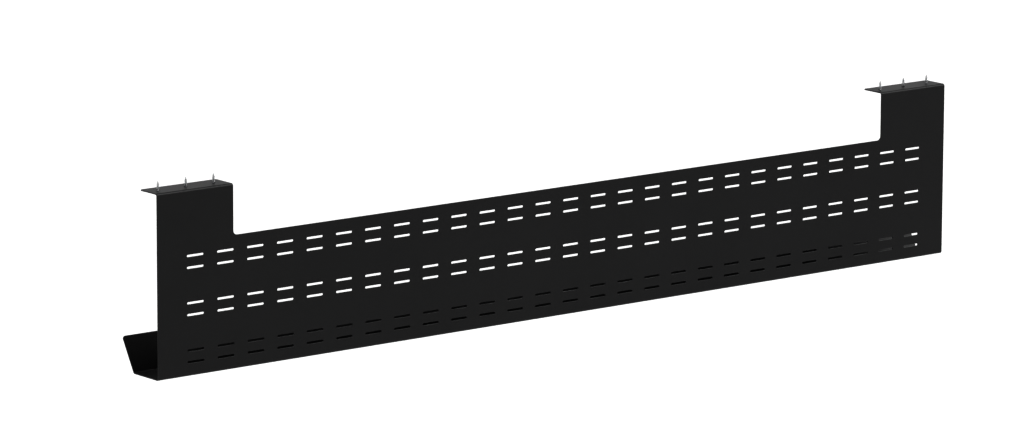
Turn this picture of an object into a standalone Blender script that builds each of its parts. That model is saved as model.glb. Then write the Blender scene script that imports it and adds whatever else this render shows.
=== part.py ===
"""Under-desk cable tray: one folded, slotted steel sheet, hung from a desktop by six wood screws with washers.

Metres, +Z up. +X runs along the tray, +Y towards the person at the desk.
The origin is on the underside of the desktop, midway along the tray, in the plane of the sheet's back face.
"""

import math

import bmesh
import bpy
from mathutils import Matrix, Vector

QUARTER = math.pi / 2

# The sheet
TRAY_LENGTH = 1.400
TRAY_HEIGHT = 0.2525
SHEET = 0.0015
BEND_INSIDE = 0.0020
BEND_STEPS = 4
FLANGE_DEPTH = 0.040
FLOOR_DEPTH = 0.0573
LIP_LENGTH = 0.0535
LIP_LEAN = math.radians(30)
CORNER_ROUND = 0.0045
CORNER_STEPS = 4

# The cut-out between the two end tabs, open at the top
WINDOW_LENGTH = 1.153
WINDOW_DROP = 0.070
WINDOW_ROUND = 0.006

# The slots: three pairs of rows
SLOT_COLUMNS = 27
SLOT_PITCH = 0.04913
SLOT_LENGTH = 0.0275
SLOT_HEIGHT = 0.0032
SLOT_END_STEPS = 3
FIRST_ROW_DROP = 0.0894
ROW_GAP = 0.016
PAIR_GAP = 0.064
PAIRS = 3

# The fixings
SCREWS_PER_FLANGE = 3
SCREW_PITCH = 0.045
SCREW_HOLE_RADIUS = 0.0025
SCREW_LENGTH = 0.016
SHANK_RADIUS = 0.0020
POINT_LENGTH = 0.0045
POINT_RADIUS = 0.0002
HEAD_RADIUS = 0.0040
HEAD_HEIGHT = 0.0028
HEAD_EDGE = 0.0009
DOME_STEPS = 3
RECESS_SPAN = 0.0042
RECESS_WIDTH = 0.0010
RECESS_DEPTH = 0.0016
RECESS_TAPER = 0.55
WASHER_RADIUS = 0.0060
WASHER_HOLE_RADIUS = 0.0022
WASHER_THICKNESS = 0.0010
ROUND_STEPS = 16

# Colours, linear
COAT_COLOUR = (0.013, 0.013, 0.014)
COAT_ROUGHNESS = 0.55
SCREW_COLOUR = (0.60, 0.61, 0.62)
SCREW_ROUGHNESS = 0.32
WASHER_COLOUR = (0.58, 0.59, 0.60)
WASHER_ROUGHNESS = 0.38

# Modelling
TOUCH_GAP = 0.0003
WELD_DISTANCE = 0.00001
SHARP_ANGLE = math.radians(35)
OVERSHOOT = 0.010
SHEET_OVERSHOOT = 0.002

# Worked out from the sizes above
TAB_LENGTH = (TRAY_LENGTH - WINDOW_LENGTH) / 2
TAB_CENTRE = (TRAY_LENGTH - TAB_LENGTH) / 2
SCREW_Y = (SHEET + BEND_INSIDE + FLANGE_DEPTH) / 2
LIP_ALONG = Vector((0, math.sin(LIP_LEAN), math.cos(LIP_LEAN)))
LIP_OUTWARD = Vector((0, math.cos(LIP_LEAN), -math.sin(LIP_LEAN)))
LIP_FOOT = Vector((0, FLOOR_DEPTH, -TRAY_HEIGHT))
LIP_EDGE = LIP_FOOT + LIP_LENGTH * LIP_ALONG


def clear_scene():
    for obj in list(bpy.data.objects):
        bpy.data.objects.remove(obj, do_unlink=True)


def make_material(name, colour, metallic, roughness):
    material = bpy.data.materials.new(name)
    material.use_nodes = True
    shader = material.node_tree.nodes["Principled BSDF"]
    shader.inputs["Base Color"].default_value = (*colour, 1)
    shader.inputs["Metallic"].default_value = metallic
    shader.inputs["Roughness"].default_value = roughness
    return material


def object_from(name, bm, material=None):
    bmesh.ops.recalc_face_normals(bm, faces=bm.faces)
    mesh = bpy.data.meshes.new(name)
    bm.to_mesh(mesh)
    bm.free()
    mesh.shade_smooth()
    mesh.set_sharp_from_angle(angle=SHARP_ANGLE)
    obj = bpy.data.objects.new(name, mesh)
    if material:
        mesh.materials.append(material)
    bpy.context.scene.collection.objects.link(obj)
    return obj


def add_prism(bm, outline, along):
    """Closes an outline of 3-D points and pushes it along a vector."""
    face = bm.faces.new([bm.verts.new(point) for point in outline])
    pushed = bmesh.ops.extrude_face_region(bm, geom=[face])
    moved = [item for item in pushed["geom"] if isinstance(item, bmesh.types.BMVert)]
    bmesh.ops.translate(bm, verts=moved, vec=along)


def cut(obj, cutter_mesh, name):
    """Takes a helper's solids away from an object. The helper follows the object and is left out of the model."""
    cutter = object_from(name, cutter_mesh)
    cutter.hide_render = True
    cutter.display_type = "WIRE"
    cutter.parent = obj
    modifier = obj.modifiers.new(name, "BOOLEAN")
    modifier.operation = "DIFFERENCE"
    modifier.solver = "EXACT"
    modifier.object = cutter


def arc(centre, radius, start, end, steps):
    """Points on an arc in a flat (u, v) plane, both ends included, angles in radians."""
    angles = [start + (end - start) * step / steps for step in range(steps + 1)]
    return [(centre[0] + radius * math.cos(a), centre[1] + radius * math.sin(a)) for a in angles]


def folded_profile():
    """The sheet's closed outline across its length, as (y, z): flange, back panel, floor and leaning lip."""
    inner, outer = BEND_INSIDE, BEND_INSIDE + SHEET
    top = (outer, -outer)
    bottom = (outer, outer - TRAY_HEIGHT)
    # The floor and the lip turn through 90 degrees less the lean, so their bend starts this far before the corner.
    turn = QUARTER - LIP_LEAN
    foot = (FLOOR_DEPTH - outer * math.tan(turn / 2), outer - TRAY_HEIGHT)
    outside = [(FLANGE_DEPTH, 0)]
    outside += arc(top, outer, QUARTER, 2 * QUARTER, BEND_STEPS)
    outside += arc(bottom, outer, 2 * QUARTER, 3 * QUARTER, BEND_STEPS)
    outside += arc(foot, outer, -QUARTER, turn - QUARTER, BEND_STEPS)
    outside.append((LIP_EDGE.y, LIP_EDGE.z))
    back = LIP_EDGE - SHEET * LIP_OUTWARD
    inside = [(back.y, back.z)]
    inside += arc(foot, inner, turn - QUARTER, -QUARTER, BEND_STEPS)
    inside += arc(bottom, inner, 3 * QUARTER, 2 * QUARTER, BEND_STEPS)
    inside += arc(top, inner, 2 * QUARTER, QUARTER, BEND_STEPS)
    inside.append((FLANGE_DEPTH, -SHEET))
    return outside + inside


def window_cutter():
    bm = bmesh.new()
    half = WINDOW_LENGTH / 2
    centre_x = half - WINDOW_ROUND
    centre_z = WINDOW_ROUND - WINDOW_DROP
    left = arc((-centre_x, centre_z), WINDOW_ROUND, 2 * QUARTER, 3 * QUARTER, CORNER_STEPS)
    right = arc((centre_x, centre_z), WINDOW_ROUND, -QUARTER, 0, CORNER_STEPS)
    outline = [(-half, OVERSHOOT), *left, *right, (half, OVERSHOOT)]
    points = [(x, -OVERSHOOT, z) for x, z in outline]
    add_prism(bm, points, (0, FLANGE_DEPTH + 2 * OVERSHOOT, 0))
    return bm


def slot_outline():
    """A slot with round ends, as (x, z) about its centre."""
    reach = (SLOT_LENGTH - SLOT_HEIGHT) / 2
    radius = SLOT_HEIGHT / 2
    right = arc((reach, 0), radius, -QUARTER, QUARTER, SLOT_END_STEPS)
    left = arc((-reach, 0), radius, QUARTER, 3 * QUARTER, SLOT_END_STEPS)
    return right + left


def slot_centres():
    for column in range(SLOT_COLUMNS):
        x = (column - (SLOT_COLUMNS - 1) / 2) * SLOT_PITCH
        for pair in range(PAIRS):
            for row in range(2):
                yield x, -(FIRST_ROW_DROP + pair * PAIR_GAP + row * ROW_GAP)


def slots_cutter():
    bm = bmesh.new()
    outline = slot_outline()
    for x, z in slot_centres():
        points = [(x + u, -SHEET_OVERSHOOT, z + v) for u, v in outline]
        add_prism(bm, points, (0, SHEET + 2 * SHEET_OVERSHOOT, 0))
    return bm


def add_corner(bm, corner, back_u, back_v, normal):
    """A solid that rounds off one sheet corner: back_u and back_v run from the corner along its two edges."""
    reach = CORNER_ROUND
    outline = arc((reach, reach), reach, 2 * QUARTER, 3 * QUARTER, CORNER_STEPS)
    outline += [(reach, -reach), (-reach, -reach), (-reach, reach)]
    start = corner - OVERSHOOT / 2 * normal
    add_prism(bm, [start + u * back_u + v * back_v for u, v in outline], OVERSHOOT * normal)


def corners_cutter():
    bm = bmesh.new()
    towards_panel = Vector((0, -1, 0))
    up = Vector((0, 0, 1))
    for side in (-1, 1):
        outwards = Vector((side, 0, 0))
        end = TRAY_LENGTH / 2 * outwards
        flange_end = Vector((end.x, FLANGE_DEPTH, 0))
        flange_start = Vector((side * WINDOW_LENGTH / 2, FLANGE_DEPTH, 0))
        add_corner(bm, end + LIP_EDGE, -outwards, -LIP_ALONG, LIP_OUTWARD)
        add_corner(bm, flange_end, -outwards, towards_panel, up)
        add_corner(bm, flange_start, outwards, towards_panel, up)
    return bm


def screw_places():
    """(name ending, x) of every screw, left flange first."""
    for side, name in ((-1, "left"), (1, "right")):
        for number in range(SCREWS_PER_FLANGE):
            offset = (number - (SCREWS_PER_FLANGE - 1) / 2) * SCREW_PITCH
            yield f"{name}_{number + 1}", side * TAB_CENTRE + offset


def screw_holes_cutter():
    bm = bmesh.new()
    circle = arc((0, 0), SCREW_HOLE_RADIUS, 0, 2 * math.pi, ROUND_STEPS)[:-1]
    for _, x in screw_places():
        points = [(x + u, SCREW_Y + v, -OVERSHOOT / 2) for u, v in circle]
        add_prism(bm, points, (0, 0, OVERSHOOT))
    return bm


def make_tray_sheet(material):
    bm = bmesh.new()
    outline = [(-TRAY_LENGTH / 2, y, z) for y, z in folded_profile()]
    add_prism(bm, outline, (TRAY_LENGTH, 0, 0))
    sheet = object_from("tray_sheet", bm, material)
    cut(sheet, window_cutter(), "window_cutter")
    cut(sheet, slots_cutter(), "slots_cutter")
    cut(sheet, corners_cutter(), "corners_cutter")
    cut(sheet, screw_holes_cutter(), "screw_holes_cutter")


def turned(profile):
    """A solid of revolution about Z, from (radius, z) points that run from the top of the axis to its bottom."""
    bm = bmesh.new()
    verts = [bm.verts.new((radius, 0, z)) for radius, z in profile]
    edges = [bm.edges.new(pair) for pair in zip(verts, verts[1:])]
    bmesh.ops.spin(
        bm, geom=verts + edges, axis=(0, 0, 1), cent=(0, 0, 0), angle=2 * math.pi, steps=ROUND_STEPS
    )
    bmesh.ops.remove_doubles(bm, verts=bm.verts, dist=WELD_DISTANCE)
    return bm


def recess_cutter():
    """The cross in a screw's head, narrower at its bottom."""
    bm = bmesh.new()
    long = RECESS_SPAN / 2
    short = RECESS_WIDTH / 2
    quadrant = [(long, short), (short, short), (short, long)]
    outline = []
    for turn in range(4):
        spin = Matrix.Rotation(turn * QUARTER, 2)
        outline += [spin @ Vector(point) for point in quadrant]
    mouth = [bm.verts.new((u, v, -HEAD_HEIGHT - TOUCH_GAP)) for u, v in outline]
    floor_z = RECESS_DEPTH - HEAD_HEIGHT
    floor = [bm.verts.new((u * RECESS_TAPER, v * RECESS_TAPER, floor_z)) for u, v in outline]
    bm.faces.new(mouth)
    bm.faces.new(floor[::-1])
    for here in range(len(outline)):
        after = (here + 1) % len(outline)
        bm.faces.new((mouth[after], mouth[here], floor[here], floor[after]))
    return bm


def make_screw(name, place, material):
    """A pan-head wood screw, point up. Its own zero height is the bearing face under its head."""
    tip = SCREW_LENGTH
    rise = HEAD_HEIGHT - HEAD_EDGE
    dome = arc((0, 0), 1, 0, QUARTER, DOME_STEPS)
    profile = [(0, tip), (POINT_RADIUS, tip), (SHANK_RADIUS, tip - POINT_LENGTH), (SHANK_RADIUS, 0)]
    profile += [(HEAD_RADIUS, 0), (HEAD_RADIUS, -HEAD_EDGE)]
    profile += [(HEAD_RADIUS * across, -HEAD_EDGE - rise * up) for across, up in dome[1:-1]]
    profile.append((0, -HEAD_HEIGHT))
    screw = object_from(name, turned(profile), material)
    screw.location = place
    cut(screw, recess_cutter(), f"recess_{name}")


def make_washer(name, place, material):
    """A flat washer. Its own zero height is its upper face."""
    profile = [
        (WASHER_HOLE_RADIUS, 0),
        (WASHER_RADIUS, 0),
        (WASHER_RADIUS, -WASHER_THICKNESS),
        (WASHER_HOLE_RADIUS, -WASHER_THICKNESS),
        (WASHER_HOLE_RADIUS, 0),
    ]
    washer = object_from(name, turned(profile), material)
    washer.location = place


def main():
    clear_scene()
    powder_coat = make_material("black_powder_coat", COAT_COLOUR, 0.0, COAT_ROUGHNESS)
    screw_zinc = make_material("zinc_screw", SCREW_COLOUR, 1.0, SCREW_ROUGHNESS)
    washer_zinc = make_material("zinc_washer", WASHER_COLOUR, 1.0, WASHER_ROUGHNESS)
    make_tray_sheet(powder_coat)
    washer_top = -SHEET - TOUCH_GAP
    screw_bearing = washer_top - WASHER_THICKNESS - TOUCH_GAP
    for ending, x in screw_places():
        make_washer(f"washer_{ending}", (x, SCREW_Y, washer_top), washer_zinc)
        make_screw(f"screw_{ending}", (x, SCREW_Y, screw_bearing), screw_zinc)


main()
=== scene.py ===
"""Looks of the under-desk cable tray: a folded, slotted, powder-coated sheet, its wood screws and washers.

Metres, in the frame of the CAD model: +X runs along the tray, +Y towards the person at the desk, +Z up. The
origin is on the underside of the desktop, midway along the tray, in the plane of the sheet's back face.
"""

import math

import bmesh
import bpy
from mathutils import Matrix, Vector, geometry


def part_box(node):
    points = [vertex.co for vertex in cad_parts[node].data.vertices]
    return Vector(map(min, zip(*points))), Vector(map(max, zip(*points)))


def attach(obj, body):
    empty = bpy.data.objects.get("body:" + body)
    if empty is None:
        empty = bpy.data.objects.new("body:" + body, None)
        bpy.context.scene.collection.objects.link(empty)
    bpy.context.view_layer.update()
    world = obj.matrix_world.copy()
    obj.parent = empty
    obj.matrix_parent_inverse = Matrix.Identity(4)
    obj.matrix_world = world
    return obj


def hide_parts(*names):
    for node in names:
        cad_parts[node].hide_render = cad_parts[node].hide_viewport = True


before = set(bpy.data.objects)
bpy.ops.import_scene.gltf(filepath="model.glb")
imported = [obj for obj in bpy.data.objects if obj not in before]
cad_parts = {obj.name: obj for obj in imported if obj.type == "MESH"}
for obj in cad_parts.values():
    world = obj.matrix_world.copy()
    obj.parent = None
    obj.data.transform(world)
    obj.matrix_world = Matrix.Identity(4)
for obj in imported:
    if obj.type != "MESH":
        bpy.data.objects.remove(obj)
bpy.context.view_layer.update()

QUARTER = math.pi / 2
ROOT = "root"

# Distances under which two points count as one
WELD = 2e-6
TOUCH = 1e-7
ROUNDING = 1e-9

# The sheet, outside sizes read from the CAD node and the rest as in the CAD source
SHEET_LOW, SHEET_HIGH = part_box("tray_sheet")
TRAY_HALF = SHEET_HIGH.x
TRAY_HEIGHT = -SHEET_LOW.z
SHEET = 0.0015
BEND_INSIDE = 0.0020
FLANGE_DEPTH = 0.040
FLOOR_DEPTH = 0.0573
LIP_LENGTH = 0.0535
LIP_LEAN = math.radians(30)
CORNER_ROUND = 0.0045
WINDOW_HALF = 1.153 / 2
WINDOW_DROP = 0.070
WINDOW_ROUND = 0.006
SLOT_COLUMNS = 27
SLOT_PITCH = 0.04913
SLOT_LENGTH = 0.0275
SLOT_HEIGHT = 0.0032
FIRST_ROW_DROP = 0.0894
ROW_GAP = 0.016
PAIR_GAP = 0.064
PAIRS = 3
SCREW_HOLE_RADIUS = 0.0025

# How finely the sheet is drawn. The supports are narrow flat strips beside each bend and rounded edge
BEND_STEPS = 12
BEND_SUPPORT = 0.0006
CORNER_STEPS = 8
SLOT_END_STEPS = 8
HOLE_STEPS = 32
EDGE_ROUND = 0.00035
EDGE_STEPS = 3
EDGE_SUPPORT = 0.0011

# The mesh attribute that marks the rounded cut edges, where the paint is thinner and is drawn lighter,
# partly as rubbed paint and partly as a painted highlight
EDGE_LAYER = "rim"

# The fixings, each turned a little further than the one before
SCREWS = sorted(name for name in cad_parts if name.startswith("screw_"))
WASHERS = sorted(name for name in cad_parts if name.startswith("washer_"))
FIXING_TURN = 2.4
ROUND_STEPS = 48
HEAD_RADIUS = 0.0040
HEAD_HEIGHT = 0.0028
HEAD_EDGE = 0.0009
HEAD_BREAK = 0.00012
DOME_STEPS = 12
DOME_FULLNESS = 0.8
RECESS_SPAN = 0.0042
RECESS_WIDTH = 0.0010
RECESS_DEPTH = 0.0016
RECESS_TAPER = 0.55
CREST_RADIUS = 0.0020
CORE_RADIUS = 0.00135
THREAD_PITCH = 0.0018
THREAD_START = 0.0022
THREAD_CREST = 0.21
THREAD_ROWS = 14
POINT_LENGTH = 0.0045
POINT_BLUNT = 0.06
SHANK_SUNK = 0.00087
SCREW_SHARP = math.radians(40)
WASHER_HOLE_RADIUS = 0.0022
WASHER_EDGE = 0.00018
WASHER_ROLL = 2 * WASHER_EDGE
WASHER_ROLL_MIDDLE = (0.3, 0.25)
WASHER_SHARP = math.radians(25)

# Colours, and the range that most of a noise texture's values lie in
NOISE_RANGE = (0.3, 0.7)
COAT_TONES = ((0.0172, 0.0172, 0.0175), (0.0208, 0.0208, 0.0211))
COAT_SPECK = (0.030, 0.030, 0.031)
# Lighter colour for the cut edges: partly rubbed paint, partly a painted highlight
COAT_WORN_EDGE_AND_HIGHLIGHT = (0.040, 0.040, 0.041)
ZINC_TONES = ((0.50, 0.51, 0.53), (0.68, 0.68, 0.67))
FLOOR_TONES = ((0.88, 0.88, 0.88), (0.90, 0.90, 0.90))
WHITE = (1, 1, 1, 1)

CAMERA_AIM = Vector((-0.10014, 0, -0.0948))
CAMERA_ANGLES = (-38.359, 11.137)
CAMERA_ROLL = math.radians(0.222)
CAMERA_DISTANCE = 8.0962
CAMERA_REACH = 400
CAMERA_LENS_MM = 205.216
LIGHT_DISTANCE = 5.0
SOFTBOX_ANGLES = (230, 50)
SOFTBOX_SIZE = 3.0
SOFTBOX_WATTS = 28
BACK_LIGHT_ANGLES = (56, 44)
BACK_LIGHT_SPREAD = math.radians(44)
BACK_LIGHT_STRENGTH = 1.1

# The floor lies far below, so that the tray can be seen from below too
FLOOR_DROP = 11.5
FLOOR_RADIUS = 150.0
FLOOR_STEPS = 96
FLOOR_GLOW = 0.11

# The studio's walls fade into its ceiling between two heights, given as the z of a direction
WALL_LIGHT = 0.615
CEILING_LIGHT = 0.36
WALL_TOP = 0.08
CEILING_START = 0.40


# ---- Outlines and meshes ----


def arc(centre, radius, start, end, steps):
    """Points on an arc, both ends included, angles in radians."""
    angles = [start + (end - start) * step / steps for step in range(steps + 1)]
    return [Vector((centre[0] + radius * math.cos(a), centre[1] + radius * math.sin(a))) for a in angles]


def rounded_outline(corners):
    """A closed outline from (x, y, corner radius), with each corner turned into an arc."""
    points = []
    for here, (x, y, radius) in enumerate(corners):
        corner = Vector((x, y))
        before = (Vector(corners[here - 1][:2]) - corner).normalized()
        after = (Vector(corners[(here + 1) % len(corners)][:2]) - corner).normalized()
        half = before.angle(after) / 2
        centre = corner + (before + after).normalized() * radius / math.sin(half)
        start = corner + before * radius / math.tan(half) - centre
        turn = start.angle_signed(corner + after * radius / math.tan(half) - centre)
        for step in range(CORNER_STEPS + 1):
            points.append(centre + Matrix.Rotation(-turn * step / CORNER_STEPS, 2) @ start)
    return points


def inset(points, distance):
    """The same closed outline moved to its left by a distance, which is into the sheet."""
    moved = []
    for here, point in enumerate(points):
        before, after = points[here - 1], points[(here + 1) % len(points)]
        along = [(point - before).normalized(), (after - point).normalized()]
        left = [Vector((-a.y, a.x)) for a in along]
        mean = (left[0] + left[1]).normalized()
        moved.append(point + mean * distance / mean.dot(left[0]))
    return moved


def object_from(name, bm, material):
    """A smooth object with its faces pointing out, made from a bmesh, which is used up."""
    bmesh.ops.recalc_face_normals(bm, faces=bm.faces)
    if bm.calc_volume(signed=True) < 0:
        bmesh.ops.reverse_faces(bm, faces=bm.faces)
    mesh = bpy.data.meshes.new(name)
    bm.to_mesh(mesh)
    bm.free()
    mesh.shade_smooth()
    mesh.materials.append(material)
    obj = bpy.data.objects.new(name, mesh)
    bpy.context.scene.collection.objects.link(obj)
    return obj


# ---- The folded sheet ----


class FoldPath:
    """The sheet's middle plane across its length, as straight legs and bends, from the flange to the lip."""

    def __init__(self):
        half = SHEET / 2
        lip = Vector((math.sin(LIP_LEAN), math.cos(LIP_LEAN)))
        lip_out = Vector((lip.y, -lip.x))
        turn = QUARTER - LIP_LEAN
        corners = [
            Vector((FLANGE_DEPTH, -half)),
            Vector((half, -half)),
            Vector((half, half - TRAY_HEIGHT)),
            Vector((FLOOR_DEPTH - half * math.tan(turn / 2), half - TRAY_HEIGHT)),
            Vector((FLOOR_DEPTH, -TRAY_HEIGHT)) + LIP_LENGTH * lip - half * lip_out,
        ]
        self.radius = BEND_INSIDE + half
        self.parts = []
        self.bends = []
        travelled, start = 0.0, corners[0]
        for here in range(1, len(corners)):
            along = (corners[here] - corners[here - 1]).normalized()
            if here < len(corners) - 1:
                after = (corners[here + 1] - corners[here]).normalized()
                angle = along.angle(after)
                end = corners[here] - along * self.radius * math.tan(angle / 2)
            else:
                angle, end = 0.0, corners[here]
            length = (end - start).length
            self.parts.append((travelled, "leg", start, along))
            travelled += length
            if angle:
                self.bends.append((travelled, travelled + angle * self.radius))
                self.parts.append((travelled, "bend", end, along))
                travelled += angle * self.radius
                start = corners[here] + after * self.radius * math.tan(angle / 2)
        self.length = travelled

    def place(self, x, along_sheet, out):
        """Where a point of the flat blank lands, out being its height over the middle plane's outer side."""
        began, kind, start, along = [p for p in self.parts if p[0] <= along_sheet + ROUNDING][-1]
        outward = Vector((along.y, -along.x))
        gone = along_sheet - began
        if kind == "leg":
            point = start + along * gone + outward * out
        else:
            centre = start - outward * self.radius
            point = centre + Matrix.Rotation(gone / self.radius, 2) @ outward * (self.radius + out)
        return Vector((x, point.x, point.y))

    def panel(self, z):
        """How far along the blank a height on the back panel is."""
        began, _, start, _ = self.parts[2]
        return began + start.y - z


def blank_outlines(path):
    """The blank's outer outline, then its slots and screw holes, each with the steel on its left."""
    window = path.panel(-WINDOW_DROP)
    outer = rounded_outline([
        (-TRAY_HALF, 0, CORNER_ROUND),
        (-WINDOW_HALF, 0, CORNER_ROUND),
        (-WINDOW_HALF, window, WINDOW_ROUND),
        (WINDOW_HALF, window, WINDOW_ROUND),
        (WINDOW_HALF, 0, CORNER_ROUND),
        (TRAY_HALF, 0, CORNER_ROUND),
        (TRAY_HALF, path.length, CORNER_ROUND),
        (-TRAY_HALF, path.length, CORNER_ROUND),
    ])
    holes = []
    reach, radius = (SLOT_LENGTH - SLOT_HEIGHT) / 2, SLOT_HEIGHT / 2
    for column in range(SLOT_COLUMNS):
        x = (column - (SLOT_COLUMNS - 1) / 2) * SLOT_PITCH
        for row in range(2 * PAIRS):
            s = path.panel(-FIRST_ROW_DROP - row // 2 * PAIR_GAP - row % 2 * ROW_GAP)
            right = arc((x + reach, s), radius, QUARTER, -QUARTER, SLOT_END_STEPS)
            left = arc((x - reach, s), radius, -QUARTER, -3 * QUARTER, SLOT_END_STEPS)
            holes.append(right + left)
    for name in SCREWS:
        low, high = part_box(name)
        centre = ((low.x + high.x) / 2, FLANGE_DEPTH - (low.y + high.y) / 2)
        holes.append(arc(centre, SCREW_HOLE_RADIUS, 2 * math.pi, 0, HOLE_STEPS)[:-1])
    return [outer] + holes


def edge_levels():
    """The rounded cut edge from one face to the other, as (inset, height, share of edge)."""
    half = SHEET / 2
    upper = [(EDGE_SUPPORT, half, 0.0)]
    for step in range(EDGE_STEPS + 1):
        angle = QUARTER * (1 - step / EDGE_STEPS)
        upper.append((EDGE_ROUND * (1 - math.cos(angle)), half - EDGE_ROUND * (1 - math.sin(angle)), 1.0))
    return upper + [(inward, -height, edge) for inward, height, edge in reversed(upper)]


def flat_blank(path):
    """The cut blank before folding, as a closed mesh in (x, along the sheet, height)."""
    bm = bmesh.new()
    rim = bm.verts.layers.float.new(EDGE_LAYER)
    levels = edge_levels()
    faces_2d, loops_2d, rings = [], [], []
    for outline in blank_outlines(path):
        ring = []
        for inward, height, edge in levels:
            verts = [bm.verts.new((p.x, p.y, height)) for p in inset(outline, inward)]
            for vert in verts:
                vert[rim] = edge
            ring.append(verts)
        for upper, lower in zip(ring, ring[1:]):
            for here in range(len(upper)):
                bm.faces.new((upper[here - 1], lower[here - 1], lower[here], upper[here]))
        first = len(faces_2d)
        faces_2d += [v.co.xy for v in ring[0]]
        loops_2d += [(first + i, first + (i + 1) % len(ring[0])) for i in range(len(ring[0]))]
        rings.append((first, ring))
    cover_faces(bm, faces_2d, loops_2d, rings)
    return bm


def cover_faces(bm, points, edges, rings):
    """Fills both faces of the blank between its outlines."""
    owner = [number for number, (_, ring) in enumerate(rings) for _ in ring[0]]
    top = [vert for _, ring in rings for vert in ring[0]]
    bottom = [vert for _, ring in rings for vert in ring[-1]]
    found = geometry.delaunay_2d_cdt(points, edges, [], 1, TOUCH)
    source = [where[0] for where in found[3]]
    for triangle in found[2]:
        corners = [source[i] for i in triangle]
        hole = {owner[i] for i in corners}
        if len(hole) == 1 and hole != {0}:
            continue
        bm.faces.new([top[i] for i in corners])
        bm.faces.new([bottom[i] for i in reversed(corners)])


def fold(bm, path):
    """Cuts the blank's faces along every bend, and lays each point where the folded sheet has it."""
    lines = []
    for start, end in path.bends:
        lines += [start - BEND_SUPPORT, end + BEND_SUPPORT]
        lines += [start + (end - start) * step / BEND_STEPS for step in range(BEND_STEPS + 1)]
    for line in sorted(lines):
        everything = bm.verts[:] + bm.edges[:] + bm.faces[:]
        bmesh.ops.bisect_plane(bm, geom=everything, dist=TOUCH, plane_co=(0, line, 0), plane_no=(0, 1, 0))
    for vert in bm.verts:
        vert.co = path.place(*vert.co)


def make_tray_sheet(material):
    path = FoldPath()
    bm = flat_blank(path)
    fold(bm, path)
    sheet = object_from("folded_tray_sheet", bm, material)
    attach(sheet, ROOT)
    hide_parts("tray_sheet")


# ---- Screws and washers ----


def turned(profile):
    """A solid of revolution about Z from (radius, z) points."""
    bm = bmesh.new()
    verts = [bm.verts.new((radius, 0, z)) for radius, z in profile]
    edges = [bm.edges.new(pair) for pair in zip(verts, verts[1:])]
    bmesh.ops.spin(
        bm, geom=verts + edges, axis=(0, 0, 1), cent=(0, 0, 0), angle=2 * math.pi, steps=ROUND_STEPS
    )
    bmesh.ops.remove_doubles(bm, verts=bm.verts, dist=WELD)
    return bm


def head_mesh():
    """A pan head with a soft rim, its flat underside at zero height."""
    rise = HEAD_HEIGHT - HEAD_EDGE
    profile = [(0, 0), (HEAD_RADIUS - HEAD_BREAK, 0), (HEAD_RADIUS, -HEAD_BREAK)]
    dome = arc((0, 0), 1, 0, QUARTER, DOME_STEPS)
    profile += [(HEAD_RADIUS * p.x ** DOME_FULLNESS, -HEAD_EDGE - rise * p.y) for p in dome[:-1]]
    profile.append((0, -HEAD_HEIGHT))
    return turned(profile)


def thread_radius(z, phase, tip):
    """The shank's radius at a height: a core with a V-shaped crest mid-turn, both narrowing to the tip."""
    narrow = min(1.0, max(0.0, (tip - z) / POINT_LENGTH))
    grown = min(1.0, max(0.0, (z - THREAD_START) / THREAD_PITCH))
    crest = max(0.0, 1 - abs(phase - 0.5) / THREAD_CREST)
    core = CORE_RADIUS * (POINT_BLUNT + (1 - POINT_BLUNT) * narrow)
    return core + (CREST_RADIUS - CORE_RADIUS) * crest * grown * math.sqrt(narrow)


def shank_mesh(tip):
    """A threaded wood-screw shank whose rows of points follow the thread."""
    bm = bmesh.new()
    sunk = -SHANK_SUNK
    rows = math.ceil((tip - sunk) / THREAD_PITCH * THREAD_ROWS)
    columns = []
    for step in range(ROUND_STEPS + 1):
        angle = 2 * math.pi * step / ROUND_STEPS
        column = []
        for row in range(-THREAD_ROWS, rows + 1):
            climb = (row / THREAD_ROWS + step / ROUND_STEPS) * THREAD_PITCH
            z = min(max(sunk + climb, sunk), tip)
            radius = thread_radius(z, row / THREAD_ROWS % 1, tip)
            if z in (sunk, tip):
                radius = thread_radius(z, 0, tip)
            column.append(bm.verts.new((radius * math.cos(angle), radius * math.sin(angle), z)))
        columns.append(column)
    for left, right in zip(columns, columns[1:]):
        for row in range(len(left) - 1):
            bm.faces.new((left[row], right[row], right[row + 1], left[row + 1]))
    bmesh.ops.remove_doubles(bm, verts=bm.verts, dist=WELD)
    bmesh.ops.holes_fill(bm, edges=[e for e in bm.edges if e.is_boundary], sides=0)
    return bm


def recess_mesh():
    """A cutter for the cross in a screw's head, narrower at its bottom and reaching out past the head."""
    bm = bmesh.new()
    mouth_z, floor_z = -HEAD_HEIGHT - HEAD_EDGE, RECESS_DEPTH - HEAD_HEIGHT
    long, short = RECESS_SPAN / 2, RECESS_WIDTH / 2
    quadrant = [(long, short), (short, short), (short, long)]
    outline = []
    for turn in range(4):
        spin = Matrix.Rotation(turn * QUARTER, 2)
        outline += [spin @ Vector(point) for point in quadrant]
    mouth = [bm.verts.new((p.x, p.y, mouth_z)) for p in outline]
    floor = [bm.verts.new((p.x * RECESS_TAPER, p.y * RECESS_TAPER, floor_z)) for p in outline]
    bm.faces.new(mouth)
    bm.faces.new(floor[::-1])
    for here in range(len(outline)):
        after = (here + 1) % len(outline)
        bm.faces.new((mouth[after], mouth[here], floor[here], floor[after]))
    return bm


def combined(base, steps):
    """The base object's mesh after a list of (Boolean operation, other object), which are then removed."""
    for operation, other in steps:
        modifier = base.modifiers.new(operation, "BOOLEAN")
        modifier.operation = operation
        modifier.solver = "EXACT"
        modifier.object = other
    graph = bpy.context.evaluated_depsgraph_get()
    mesh = bpy.data.meshes.new_from_object(base.evaluated_get(graph), depsgraph=graph)
    for helper in [base] + [other for _, other in steps]:
        bpy.data.objects.remove(helper)
    bm = bmesh.new()
    bm.from_mesh(mesh)
    bmesh.ops.remove_doubles(bm, verts=bm.verts, dist=WELD)
    bm.to_mesh(mesh)
    bm.free()
    return mesh


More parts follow.
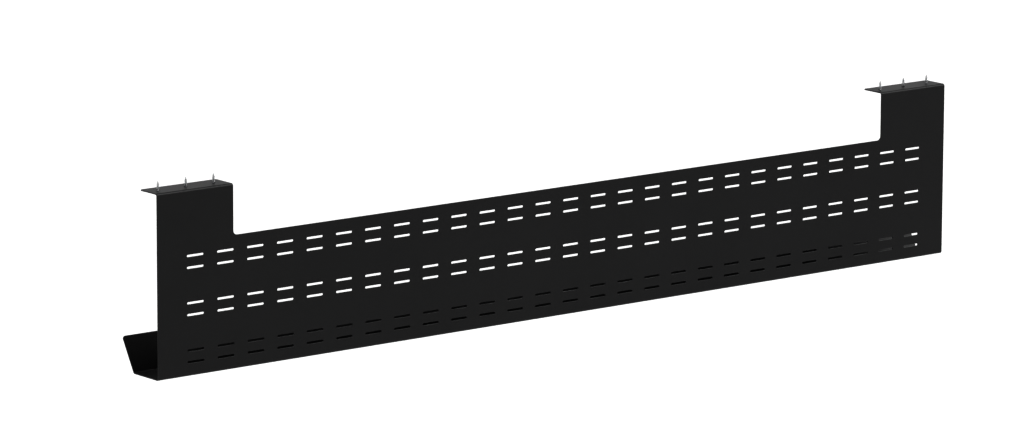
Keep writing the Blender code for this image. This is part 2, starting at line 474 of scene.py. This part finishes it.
def screw_mesh(material):
    """A whole screw, pointing up, with the underside of its head at zero height."""
    low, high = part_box(SCREWS[0])
    tip = high.z - low.z - HEAD_HEIGHT
    head = object_from("head", head_mesh(), material)
    shank = object_from("shank", shank_mesh(tip), material)
    recess = object_from("recess", recess_mesh(), material)
    mesh = combined(head, [("UNION", shank), ("DIFFERENCE", recess)])
    mesh.shade_smooth()
    mesh.set_sharp_from_angle(angle=SCREW_SHARP)
    return mesh


def washer_mesh(material):
    """A stamped washer with its top at zero height: a rolled-over rim above, and the other edges broken."""
    low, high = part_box(WASHERS[0])
    thick, radius = high.z - low.z, (high.x - low.x) / 2
    hole, edge, roll = WASHER_HOLE_RADIUS, WASHER_EDGE, WASHER_ROLL
    across, down = WASHER_ROLL_MIDDLE
    profile = [
        (hole, -edge),
        (hole + edge, 0),
        (radius - roll, 0),
        (radius - across * roll, -down * roll),
        (radius, -roll),
        (radius, edge - thick),
        (radius - edge, -thick),
        (hole + edge, -thick),
        (hole, edge - thick),
        (hole, -edge),
    ]
    obj = object_from("washer", turned(profile), material)
    mesh = obj.data
    mesh.set_sharp_from_angle(angle=WASHER_SHARP)
    bpy.data.objects.remove(obj)
    return mesh


def head_underside(low, high):
    return low.z + HEAD_HEIGHT


def washer_top(low, high):
    return high.z


def place_fixings(names, mesh, z_of):
    """Puts one shared mesh where each of the CAD's fixings is."""
    for number, node in enumerate(names):
        low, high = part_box(node)
        piece = bpy.data.objects.new(f"zinc_{node}", mesh)
        bpy.context.scene.collection.objects.link(piece)
        piece.location = ((low.x + high.x) / 2, (low.y + high.y) / 2, z_of(low, high))
        piece.rotation_euler.z = FIXING_TURN * number
        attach(piece, ROOT)
        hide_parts(node)


# ---- Materials ----


class Nodes:
    """A short way to lay out one material's nodes."""

    def __init__(self, name):
        self.material = bpy.data.materials.new(name)
        self.material.use_nodes = True
        self.tree = self.material.node_tree
        self.shader = self.tree.nodes["Principled BSDF"]
        self.position = self.add("ShaderNodeTexCoord").outputs["Object"]

    def add(self, kind, **settings):
        node = self.tree.nodes.new(kind)
        for name, value in settings.items():
            setattr(node, name, value)
        return node

    def link(self, source, target):
        self.tree.links.new(source, target)

    def noise(self, scale, detail=2.0, roughness=0.5, stretch=(1, 1, 1)):
        mapping = self.add("ShaderNodeMapping")
        mapping.inputs["Scale"].default_value = stretch
        self.link(self.position, mapping.inputs["Vector"])
        node = self.add("ShaderNodeTexNoise")
        node.inputs["Scale"].default_value = scale
        node.inputs["Detail"].default_value = detail
        node.inputs["Roughness"].default_value = roughness
        self.link(mapping.outputs["Vector"], node.inputs["Vector"])
        return node.outputs["Fac"]

    def remap(self, value, low, high, out_low, out_high):
        """A value scaled from one range to another, and held inside it."""
        node = self.add("ShaderNodeMapRange")
        ends = {"From Min": low, "From Max": high, "To Min": out_low, "To Max": out_high}
        for name, number in ends.items():
            node.inputs[name].default_value = number
        self.link(value, node.inputs["Value"])
        return node.outputs["Result"]

    def spread(self, noise, out_low, out_high):
        """A noise scaled so that most of its values fill a range."""
        return self.remap(noise, *NOISE_RANGE, out_low, out_high)

    def maths(self, operation, first, second):
        node = self.add("ShaderNodeMath", operation=operation)
        for socket, value in zip(node.inputs, (first, second)):
            if isinstance(value, (int, float)):
                socket.default_value = value
            else:
                self.link(value, socket)
        return node.outputs["Value"]

    def mix(self, share, first, second):
        """Two colours mixed. The colour sockets share their names with others, so they go by number."""
        node = self.add("ShaderNodeMix", data_type="RGBA")
        self.link(share, node.inputs["Factor"])
        for socket, value in ((node.inputs[6], first), (node.inputs[7], second)):
            if isinstance(value, tuple):
                socket.default_value = (*value, 1)
            else:
                self.link(value, socket)
        return node.outputs[2]

    def bump(self, height, strength, distance, normal=None):
        node = self.add("ShaderNodeBump")
        node.inputs["Strength"].default_value = strength
        node.inputs["Distance"].default_value = distance
        self.link(height, node.inputs["Height"])
        if normal is not None:
            self.link(normal, node.inputs["Normal"])
        return node.outputs["Normal"]


def powder_coat():
    """Matt black powder coat: a fine pebble, slow changes in tone, and lighter cut edges, partly thin rubbed
    paint and partly a painted highlight.
    """
    nodes = Nodes("black_powder_coat")
    pebble = nodes.noise(1100, detail=3.0, roughness=0.55)
    grain = nodes.noise(4200, detail=2.0)
    cloud = nodes.noise(5.0, detail=4.0, roughness=0.6)
    speck = nodes.noise(2600, detail=1.0)
    edge = nodes.add("ShaderNodeAttribute", attribute_name=EDGE_LAYER).outputs["Fac"]
    # Patchy lighter cut edges: partly rubbed paint, partly a painted highlight
    worn_edge_and_highlight = nodes.maths("MULTIPLY", edge, nodes.remap(nodes.noise(38, detail=5.0), 0.42, 0.68, 0.0, 1.0))
    tone = nodes.mix(nodes.spread(cloud, 0.0, 1.0), *COAT_TONES)
    tone = nodes.mix(nodes.remap(speck, 0.62, 0.75, 0.0, 0.5), tone, COAT_SPECK)
    tone = nodes.mix(worn_edge_and_highlight, tone, COAT_WORN_EDGE_AND_HIGHLIGHT)
    nodes.link(tone, nodes.shader.inputs["Base Color"])
    rough = nodes.maths("ADD", nodes.spread(pebble, 0.34, 0.44), nodes.spread(cloud, -0.03, 0.03))
    rough = nodes.maths("SUBTRACT", rough, nodes.maths("MULTIPLY", worn_edge_and_highlight, 0.10))
    nodes.link(rough, nodes.shader.inputs["Roughness"])
    coarse = nodes.bump(pebble, strength=0.35, distance=0.00010)
    fine = nodes.bump(grain, strength=0.20, distance=0.00003, normal=coarse)
    nodes.link(fine, nodes.shader.inputs["Normal"])
    nodes.shader.inputs["Specular IOR Level"].default_value = 0.35
    return nodes.material


def zinc_plate(name, ring_scale):
    """Bright zinc plate over turned or stamped steel: fine marks, and patches from bluish to warm."""
    nodes = Nodes(name)
    nodes.shader.inputs["Metallic"].default_value = 1.0
    patches = nodes.noise(420, detail=4.0, roughness=0.6)
    marks = nodes.noise(ring_scale, detail=2.0, stretch=(0.25, 0.25, 3.0))
    tone = nodes.mix(nodes.spread(patches, 0.0, 1.0), *ZINC_TONES)
    nodes.link(tone, nodes.shader.inputs["Base Color"])
    rough = nodes.maths("ADD", nodes.spread(patches, 0.22, 0.38), nodes.spread(marks, -0.04, 0.05))
    nodes.link(rough, nodes.shader.inputs["Roughness"])
    nodes.link(nodes.bump(marks, strength=0.25, distance=0.00002), nodes.shader.inputs["Normal"])
    return nodes.material


def floor_material():
    """A plain pale floor that glows a little."""
    nodes = Nodes("pale_floor")
    tone = nodes.mix(nodes.spread(nodes.noise(0.8, detail=3.0), 0.0, 1.0), *FLOOR_TONES)
    nodes.link(tone, nodes.shader.inputs["Base Color"])
    nodes.shader.inputs["Roughness"].default_value = 0.9
    nodes.shader.inputs["Specular IOR Level"].default_value = 0.1
    nodes.shader.inputs["Emission Color"].default_value = WHITE
    nodes.shader.inputs["Emission Strength"].default_value = FLOOR_GLOW
    return nodes.material


# ---- Stage ----


def direction_to(azimuth, elevation):
    """The direction from the tray to a place seen at these angles."""
    a, e = math.radians(azimuth), math.radians(elevation)
    return Vector((math.sin(a) * math.cos(e), -math.cos(a) * math.cos(e), math.sin(e)))


def make_camera():
    data = bpy.data.cameras.new("camera")
    data.lens = CAMERA_LENS_MM
    data.clip_end = CAMERA_REACH
    camera = bpy.data.objects.new("camera", data)
    back = direction_to(*CAMERA_ANGLES)
    level = (-back).to_track_quat("-Z", "Y").to_matrix()
    camera.matrix_world = Matrix.Translation(CAMERA_AIM + back * CAMERA_DISTANCE) @ (
        level @ Matrix.Rotation(CAMERA_ROLL, 3, "Z")
    ).to_4x4()
    bpy.context.scene.collection.objects.link(camera)
    bpy.context.scene.camera = camera


def make_floor():
    bm = bmesh.new()
    bmesh.ops.create_circle(bm, cap_ends=True, radius=FLOOR_RADIUS, segments=FLOOR_STEPS)
    bmesh.ops.translate(bm, verts=bm.verts, vec=(0, 0, -FLOOR_DROP))
    floor = object_from("pale_floor", bm, floor_material())


def put_up_light(name, data, angles):
    """Puts a light up around the tray and aims it at the tray's middle."""
    light = bpy.data.objects.new(name, data)
    back = direction_to(*angles)
    light.location = Vector((0, 0, -TRAY_HEIGHT / 2)) + back * LIGHT_DISTANCE
    light.rotation_euler = (-back).to_track_quat("-Z", "Y").to_euler()
    bpy.context.scene.collection.objects.link(light)


def make_lights():
    """A softbox at the front left, and at the back right a broad light from very far off."""
    softbox = bpy.data.lights.new("front_softbox", "AREA")
    softbox.shape = "SQUARE"
    softbox.size = SOFTBOX_SIZE
    softbox.energy = SOFTBOX_WATTS
    put_up_light("front_softbox", softbox, SOFTBOX_ANGLES)
    far = bpy.data.lights.new("back_light", "SUN")
    far.angle = BACK_LIGHT_SPREAD
    far.energy = BACK_LIGHT_STRENGTH
    put_up_light("back_light", far, BACK_LIGHT_ANGLES)


def make_world():
    """A studio with bright walls all round and a dimmer ceiling."""
    world = bpy.data.worlds.new("studio")
    world.use_nodes = True
    tree = world.node_tree
    direction = tree.nodes.new("ShaderNodeTexCoord")
    height = tree.nodes.new("ShaderNodeSeparateXYZ")
    level = tree.nodes.new("ShaderNodeMapRange")
    level.interpolation_type = "SMOOTHSTEP"
    level.inputs["From Min"].default_value = WALL_TOP
    level.inputs["From Max"].default_value = CEILING_START
    level.inputs["To Min"].default_value = WALL_LIGHT
    level.inputs["To Max"].default_value = CEILING_LIGHT
    tree.links.new(direction.outputs["Generated"], height.inputs["Vector"])
    tree.links.new(height.outputs["Z"], level.inputs["Value"])
    tree.links.new(level.outputs["Result"], tree.nodes["Background"].inputs["Strength"])
    tree.nodes["Background"].inputs["Color"].default_value = WHITE
    bpy.context.scene.world = world


def make_stage():
    make_camera()
    make_floor()
    make_world()
    make_lights()
    view = bpy.context.scene.view_settings
    view.view_transform = "Standard"
    view.look = "Very High Contrast"


def main():
    make_stage()
    make_tray_sheet(powder_coat())
    screw_metal = zinc_plate("zinc_screw", 900)
    washer_metal = zinc_plate("zinc_washer", 700)
    place_fixings(SCREWS, screw_mesh(screw_metal), head_underside)
    place_fixings(WASHERS, washer_mesh(washer_metal), washer_top)


main()
